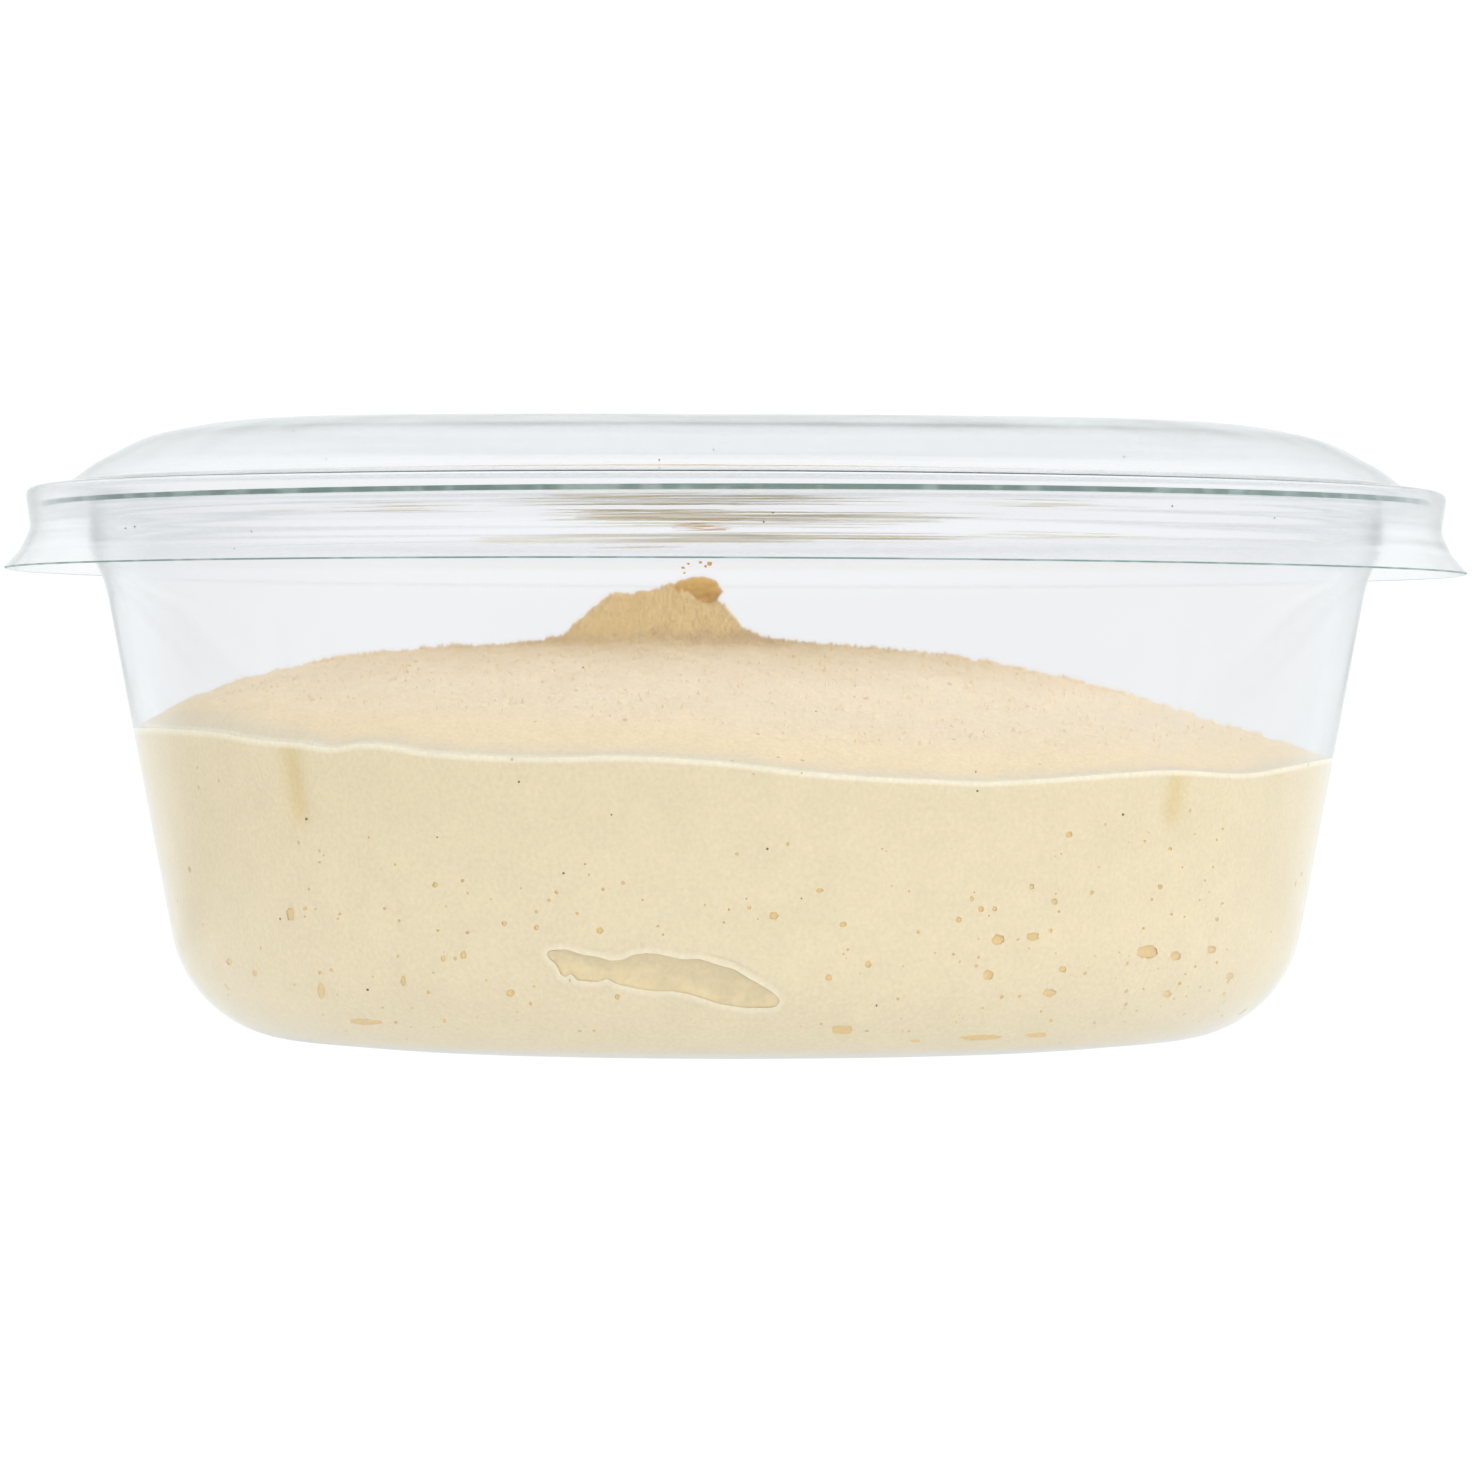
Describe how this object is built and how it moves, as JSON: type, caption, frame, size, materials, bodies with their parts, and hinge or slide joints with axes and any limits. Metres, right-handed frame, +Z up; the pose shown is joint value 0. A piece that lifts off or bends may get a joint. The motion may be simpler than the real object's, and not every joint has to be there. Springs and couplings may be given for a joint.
{
  "type": "tub of hummus",
  "caption": "Clear round deli tub of hummus with a clear press-on domed lid, filled to a rough mound with a small curled peak.",
  "frame": {"origin": "middle of the tub's base, on the surface it stands on", "axes": "+Z up through the lid; -Y towards the side the picture shows; +X to the right in it"},
  "size_m": [0.1202, 0.1202, 0.0512],
  "materials": {
    "clear_tub": "clear thermoformed PET sheet, glossy",
    "clear_lid": "clear thermoformed PET sheet, glossy",
    "hummus": "pale beige chickpea paste, fine grain, satin where it lies on the wall"
  },
  "bodies": {
    "root": {"tub": "clear_tub", "lid": "clear_lid", "hummus": "hummus"}
  },
  "joints": []
}
